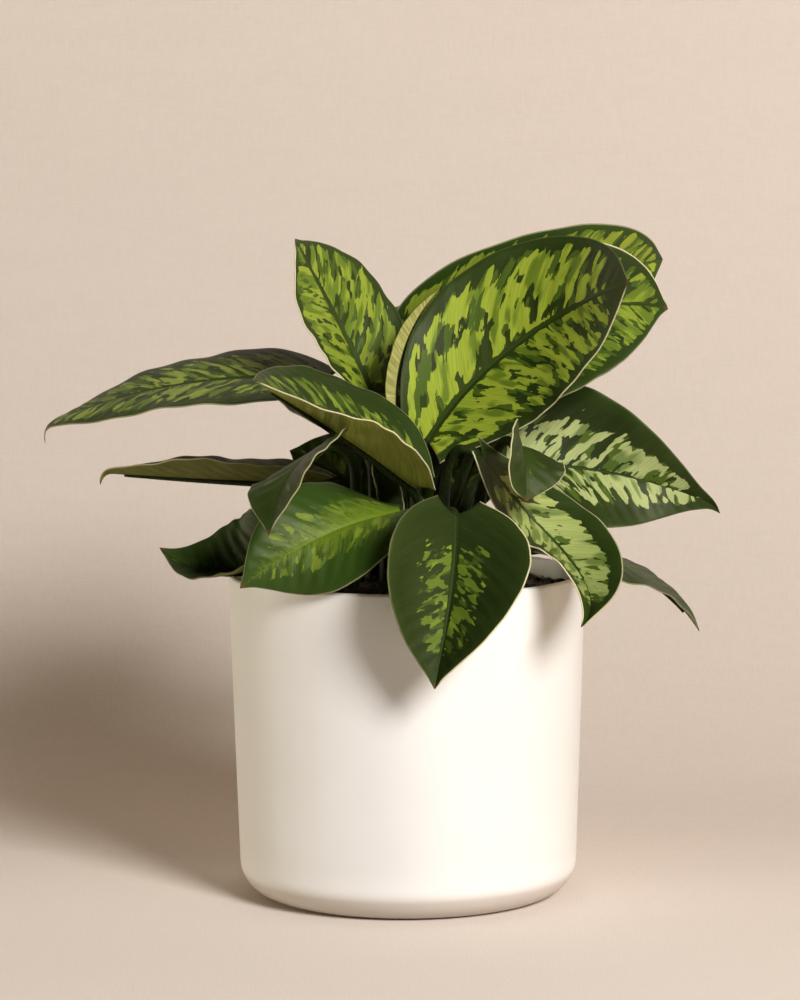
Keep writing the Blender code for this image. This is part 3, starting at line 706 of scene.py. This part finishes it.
def blade_material():
    """Dark green with ragged mid-green and lime or silver patches that follow the side veins,
    a cream line on some margins, a brown drip tip and a pale olive underside."""
    look = Look("marbled leaf", Specular_IOR_Level=0.22, Specular_Tint=(1.0, 0.95, 0.70, 1.0))
    across, station, margin = look.attribute("blade_place")
    under, to_tip, seed = look.attribute("blade_side")
    level, silver, bright = look.attribute("blade_tone")
    line_here, fresh, fine = look.attribute("blade_line")
    young = level.over(1.5)
    from_rib = abs(across)
    vein = station - VEIN_SLANT * from_rib - VEIN_BEND * from_rib * from_rib
    shift = seed * 17.0 + across.over(0.0) * 9.3
    share = station / (station + to_tip)
    outward = from_rib / (from_rib + margin + 0.01)

    ragged = look.noise(look.vector(from_rib / 2.6 + shift, vein / 1.2, shift), 1.0, 2.5, 0.6)
    streak = look.noise(look.vector(from_rib / 11.0 + shift, vein / 0.9, shift), 1.0, 2.0, 0.6)
    thread = look.noise(look.vector(from_rib / 9.0 + shift, vein / 0.32, shift), 1.0, 1.0, 0.5)
    inward = from_rib * fine
    along_vein = vein * fine
    blotch = look.noise(look.vector(inward / 8.0 + shift, along_vein / 4.8, shift), 1.0, 1.5, 0.5, 0.35)
    second = look.noise(look.vector(inward / 9.0 + shift, along_vein / 5.5, shift + 7.0), 1.0, 1.5, 0.5, 0.35)
    wash = look.noise(look.vector(from_rib / 12.0 + shift, vein / 6.0, shift + 5.0), 1.0, 1.0)
    drift = look.noise(look.vector(from_rib / 30.0, station / 34.0, shift + 3.0), 1.0, 1.0)

    rib_reach = 1.7 - 0.9 * silver - 1.4 * share
    rib_zone = (from_rib - rib_reach).ramp(-0.4, 0.8, 1.0, 0.0)
    edges = 0.07 * (streak - 0.5) + 0.22 * (ragged - 0.5)
    marbled = (blotch + edges - level - 0.30 * rib_zone).ramp(-0.006, 0.010)
    middle = (second + edges - level - 0.035 - 0.30 * rib_zone).ramp(-0.010, 0.016)
    vivid = (wash + 0.13 * (streak - 0.5) + 0.25 * (bright - 0.72)).ramp(0.42, 0.54)

    lime = look.mix(vivid, (0.120, 0.178, 0.012), (0.300, 0.370, 0.030))
    ash = look.mix(vivid, (0.135, 0.180, 0.050), (0.345, 0.385, 0.150))
    pale = look.mix(silver, lime, ash)
    # painted shade in part: patches pulled towards dark green where the patch brightness is low, set low on leaves
    # that lie in shade
    pale = look.mix((1 - bright) * 0.8, pale, (0.068, 0.108, 0.012))
    pale = look.mix(thread.ramp(0.42, 0.68) * 0.30, pale, (0.060, 0.100, 0.012))
    deep = look.mix(drift.ramp(0.3, 0.7), (0.010, 0.019, 0.0025), (0.017, 0.031, 0.004))
    deep = look.mix(thread.ramp(0.35, 0.75) * 0.25, deep, (0.034, 0.056, 0.008))
    deep = look.mix(margin.ramp(1.0, 7.0, 0.35, 0.0), deep, (0.030, 0.052, 0.008))
    deep = look.mix(fresh, deep, (0.024, 0.052, 0.005))
    glow = (outward + 0.55 * share + 0.8 * (ragged - 0.5) + 0.7 * (streak - 0.5)).ramp(0.15, 0.75, 1.0, 0.0)
    deep = look.mix(glow * fresh, deep, (0.105, 0.160, 0.009))
    upper = look.mix(middle * (0.30 + 0.4 * bright), deep, (0.070, 0.118, 0.011))
    upper = look.mix(marbled * (1 - 0.35 * fresh), upper, pale)
    rib_line = (from_rib - 0.5 * rib_reach).ramp(0.0, 0.5, 0.55, 0.0) * (1 - fresh)
    upper = look.mix(rib_line, upper, (0.026, 0.048, 0.008))

    olive = look.mix(streak.ramp(0.3, 0.7), (0.175, 0.196, 0.032), (0.245, 0.262, 0.050))
    # painted shade in part: undersides darkened where the patch brightness is low, set low on leaves that lie in
    # shade
    olive = look.mix(bright.ramp(0.15, 0.40, 0.65, 0.0), olive, (0.075, 0.082, 0.026))
    olive = look.mix(marbled * 0.25, olive, (0.27, 0.29, 0.09))
    skin = look.mix(under.ramp(0.35, 0.65), upper, olive)
    rolled = look.mix(streak.ramp(0.3, 0.7), (0.20, 0.20, 0.045), (0.42, 0.39, 0.13))
    skin = look.mix(young, skin, rolled)
    line = (margin + 0.25 * (ragged - 0.5)).ramp(0.10, 0.40, 1.0, 0.0) * to_tip.ramp(0.5, 4.0)
    skin = look.mix(line * line_here, skin, (0.62, 0.56, 0.33))
    burnt = (to_tip + 2.5 * (ragged - 0.5)).ramp(0.6, 2.8, 1.0, 0.0)
    skin = look.mix(burnt * (1 - 0.4 * young), skin, (0.085, 0.045, 0.017))
    look.set("Base Color", skin)

    rough = 0.50 + 0.10 * (drift - 0.5) + 0.05 * (ragged - 0.5) + 0.12 * under + 0.04 * marbled
    look.set("Roughness", rough)
    pores = look.noise(look.vector(across / 0.5, station / 0.5, seed), 1.0, 1.0)
    ridges = (vein * (2 * np.pi / VEIN_GAP)).sine()
    height = 0.45 * thread + 0.35 * streak + 0.12 * pores + 0.3 * ridges * from_rib.ramp(1.5, 6.0)
    look.bump(height, 0.00018, 0.7)
    return look.material


def stalk_material():
    """Fleshy green stalk, browner and paler towards its sheath, with fine lengthwise streaks; the green is painted
    shade in part, kept far darker than the stalk's own green.
    """
    look = Look("leaf stalk", Specular_IOR_Level=0.12)
    share, _, seed = look.attribute("blade_side")
    place = look.object_place()
    x, y, z = look.split(place)
    streak = look.noise(look.vector(x * 900.0 + seed, y * 900.0, z * 70.0), 1.0, 2.0, 0.6)
    cloud = look.noise(look.vector(x * 90.0, y * 90.0 + seed, z * 40.0), 1.0, 2.0, 0.5)
    # painted shade: the stalk green is kept far darker than a real stalk's, standing in for the deep shade among
    # the leaves
    green = look.mix(streak.ramp(0.3, 0.7), (0.010, 0.016, 0.004), (0.021, 0.032, 0.007))
    foot = look.mix(streak.ramp(0.3, 0.7), (0.012, 0.008, 0.004), (0.028, 0.018, 0.009))
    sheath = (z + 0.012 * (cloud - 0.5)).ramp(0.118, 0.150, 1.0, 0.0)
    look.set("Base Color", look.mix(sheath * 0.8, green, foot))
    look.set("Roughness", 0.55 + 0.2 * (cloud - 0.5) + 0.15 * sheath)
    look.bump(streak, 0.0002, 0.7)
    return look.material


def pot_material():
    """Smooth cream-white shell with a faint orange-peel skin and dust specks; painted shade at the very base, a
    painted floor-bounce light on the rounded foot and painted warm shade inside.
    """
    look = Look("cream pot")
    place = look.object_place()
    x, y, z = look.split(place)
    cloud = look.noise(place, 22.0, 3.0, 0.5)
    peel = look.noise(place, 900.0, 2.0, 0.5)
    dust = look.noise(place, 2600.0, 1.0, 0.5)
    shell = look.mix(cloud.ramp(0.35, 0.65), (0.690, 0.668, 0.632), (0.712, 0.692, 0.658))
    speck = (dust - 0.70).ramp(0.0, 0.04) * 0.06
    shell = look.mix(speck, shell, (0.50, 0.42, 0.33))
    # painted shade: the lowest 4 mm darkened towards brown, standing in for the contact shadow on the floor
    foot = z.ramp(0.0, 0.004, 0.25, 0.0)
    shell = look.mix(foot, shell, (0.52, 0.44, 0.35))
    # painted light: the rounded foot lightened from 2 to 22 mm up, standing in for light bounced up from the floor
    shell = look.mix(z.ramp(0.002, 0.016, 0.0, 1.0) * z.ramp(0.010, 0.022, 0.45, 0.0), shell, (0.80, 0.78, 0.75))
    # painted shade: the inner wall and inside, below the rim, darkened towards warm brown, standing in for the
    # shade and warm bounce in the pot
    inside = (0.0655 * 0.0655 - (x * x + y * y)).ramp(-0.00010, 0.00008) * z.ramp(0.118, 0.126, 1.0, 0.25)
    look.set("Base Color", look.mix(inside * 0.45, shell, (0.36, 0.26, 0.17)))
    look.set("Roughness", 0.46 + 0.08 * (cloud - 0.5) + 0.04 * (peel - 0.5))
    look.bump(peel + 0.5 * cloud, 0.00006, 0.5)
    return look.material


def soil_material():
    """Moist peat: near-black and brown crumbs with pale fibre specks."""
    look = Look("potting mix", Specular_IOR_Level=0.3)
    place = look.object_place()
    crumb = look.noise(place, 420.0, 3.0, 0.6)
    cloud = look.noise(place, 60.0, 2.0, 0.5)
    fibre = look.noise(place, 1500.0, 2.0, 0.5, 1.5)
    brown = look.mix(crumb.ramp(0.35, 0.65), (0.010, 0.007, 0.004), (0.055, 0.034, 0.020))
    brown = look.mix(cloud.ramp(0.4, 0.7) * 0.5, brown, (0.030, 0.019, 0.011))
    look.set("Base Color", look.mix((fibre - 0.68).ramp(0.0, 0.05) * 0.5, brown, (0.17, 0.12, 0.07)))
    look.set("Roughness", 0.82 + 0.25 * (crumb - 0.5))
    look.bump(crumb + 0.4 * fibre, 0.0010, 0.9)
    return look.material


def cloth_material():
    """Seamless beige backdrop cloth: a faint weave and slow tonal drift; clear from behind, so that
    the plant can be seen from the wall's side too."""
    look = Look("studio cloth", Specular_IOR_Level=0.15, Roughness=0.95)
    place = look.object_place()
    x, y, z = look.split(place)
    long_way = look.noise(look.vector(x * 120.0, y * 900.0, z * 900.0), 1.0, 2.0, 0.6)
    short_way = look.noise(look.vector(x * 900.0, y * 120.0, z * 120.0), 1.0, 2.0, 0.6)
    slub = look.noise(look.vector(x * 14.0, y * 60.0, z * 60.0), 1.0, 3.0, 0.5)
    drift = look.noise(place, 2.2, 2.0, 0.5)
    weave = long_way + short_way
    beige = look.mix(weave.ramp(0.75, 1.25), (0.612, 0.527, 0.456), (0.642, 0.554, 0.482))
    beige = look.mix(slub.ramp(0.35, 0.75) * 0.20, beige, (0.672, 0.584, 0.512))
    beige = look.mix(drift.ramp(0.3, 0.7) * 0.25, beige, (0.634, 0.555, 0.490))
    # painted light: the floor from the front to just behind the pot is lightened towards pale beige, standing in
    # for the floor catching more light than the wall
    painted_floor_light = z.ramp(0.0, 0.10, 1.0, 0.0) * y.ramp(-0.05, 0.12, 1.0, 0.0)
    beige = look.mix(painted_floor_light * 0.6, beige, (0.790, 0.700, 0.625))
    look.set("Base Color", beige)
    look.bump(weave, 0.0003, 0.25)
    behind = look.node("ShaderNodeNewGeometry", out=6)
    cloth = Wire(look, look.shader.outputs[0])
    clear = look.node("ShaderNodeBsdfTransparent")
    one_way = look.node("ShaderNodeMixShader", None, {0: behind, 1: cloth, 2: clear})
    look.plug(look.tree.nodes["Material Output"].inputs["Surface"], one_way)
    return look.material


# Stage


def backdrop(look):
    """A cloth sweep: flat under the pot, then a quarter round up into a wall."""
    turn = np.radians(np.linspace(-90, 0, 40))
    profile = [(y, 0.0) for y in np.linspace(SWEEP_NEAR, SWEEP_FLAT_END, 8)[:-1]]
    profile += [(SWEEP_FLAT_END + SWEEP_ROUND_R * np.cos(a), SWEEP_ROUND_R * (1 + np.sin(a))) for a in turn]
    profile.append((SWEEP_FLAT_END + SWEEP_ROUND_R, SWEEP_TALL))
    profile = np.array(profile)
    x = np.linspace(-SWEEP_HALF_WIDE, SWEEP_HALF_WIDE, 24)
    y = profile[:, :1] + 0 * x
    z = profile[:, 1:] + 0 * x
    points = np.stack([x + 0 * y, y, z], -1).reshape(-1, 3)
    faces = grid_faces(len(profile), len(x), wrap=False)
    made = mesh_piece("studio_sweep", points, faces, look)


def area_light(name, place, aim, size, power, colour):
    light = bpy.data.lights.new(name, "AREA")
    light.shape = "DISK"
    light.size = size
    light.energy = power
    light.color = colour
    made = bpy.data.objects.new(name, light)
    direction = Vector(aim) - Vector(place)
    made.matrix_world = Matrix.Translation(place) @ direction.to_track_quat("-Z", "Y").to_matrix().to_4x4()
    bpy.context.scene.collection.objects.link(made)
    return made


def from_angles(azimuth, elevation, reach):
    """A place seen from the pot at an azimuth right of the camera side and an elevation, in degrees."""
    a = np.radians(azimuth)
    e = np.radians(elevation)
    return (reach * np.cos(e) * np.sin(a), -reach * np.cos(e) * np.cos(a), reach * np.sin(e))


def studio():
    """A soft key from the right front, a weak fill from the left and a weaker warm one from the right."""
    aim = (0.0, 0.0, 0.13)
    area_light("key", from_angles(30, 30.5, 2.6), aim, 0.85, 88.0, (1.0, 0.99, 0.99))
    area_light("fill", from_angles(-96, 6, 2.0), aim, 0.5, 16.0, (1.0, 0.93, 0.72))
    area_light("bounce", from_angles(80, 25, 2.0), aim, 1.2, 5.0, (1.0, 0.70, 0.32))
    area_light("back", from_angles(165, 40, 2.0), aim, 0.9, BACK_WATTS, (1.0, 0.97, 0.92))
    world = bpy.data.worlds.new("studio air")
    world.use_nodes = True
    tree = world.node_tree
    air = tree.nodes["Background"]
    air.inputs["Color"].default_value = (1.0, 0.82, 0.62, 1.0)
    air.inputs["Strength"].default_value = 0.002
    room = tree.nodes.new("ShaderNodeBackground")
    room.inputs["Color"].default_value = (0.62, 0.53, 0.45, 1.0)
    seen = tree.nodes.new("ShaderNodeLightPath")
    both = tree.nodes.new("ShaderNodeMixShader")
    for source, place in ((seen.outputs[0], 0), (air.outputs[0], 1), (room.outputs[0], 2)):
        tree.links.new(source, both.inputs[place])
    tree.links.new(both.outputs[0], tree.nodes["World Output"].inputs["Surface"])
    bpy.context.scene.world = world
    bpy.context.scene.view_settings.view_transform = "Standard"


def camera():
    data = bpy.data.cameras.new("photo camera")
    data.sensor_width = SENSOR_MM
    data.lens = FOCAL_PX / PHOTO_H * SENSOR_MM
    data.clip_end = 20.0
    made = bpy.data.objects.new("photo camera", data)
    down = np.radians(CAMERA_DOWN)
    aim = Vector(CAMERA_AIM) * MM
    place = aim + Vector((0.0, -np.cos(down), np.sin(down))) * CAMERA_REACH * MM
    tilt = Matrix.Rotation(np.radians(90) - down, 4, "X")
    roll = Matrix.Rotation(-np.radians(CAMERA_ROLL), 4, "Z")
    made.matrix_world = Matrix.Translation(place) @ tilt @ roll
    bpy.context.scene.collection.objects.link(made)
    bpy.context.scene.camera = made


def dress():
    rng = np.random.default_rng(11)
    blade_look = blade_material()
    stalk_look = stalk_material()
    for name, leaf in LEAVES.items():
        made = leaf_piece(name, leaf, LOOKS[name], blade_look, stalk_look)
        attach(made, "root")
        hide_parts("leaf_" + name)
        slot = "leaf_silver" if name in SILVER_SLOT else "leaf_dark" if name in DARK_SLOT else "leaf_bright"
        "young_leaf" if name == "young" else slot
    pot = pot_piece(pot_material())
    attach(pot, "root")
    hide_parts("pot")
    soil = soil_piece(soil_material(), rng)
    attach(soil, "root")
    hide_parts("soil")


dress()
backdrop(cloth_material())
studio()
camera()
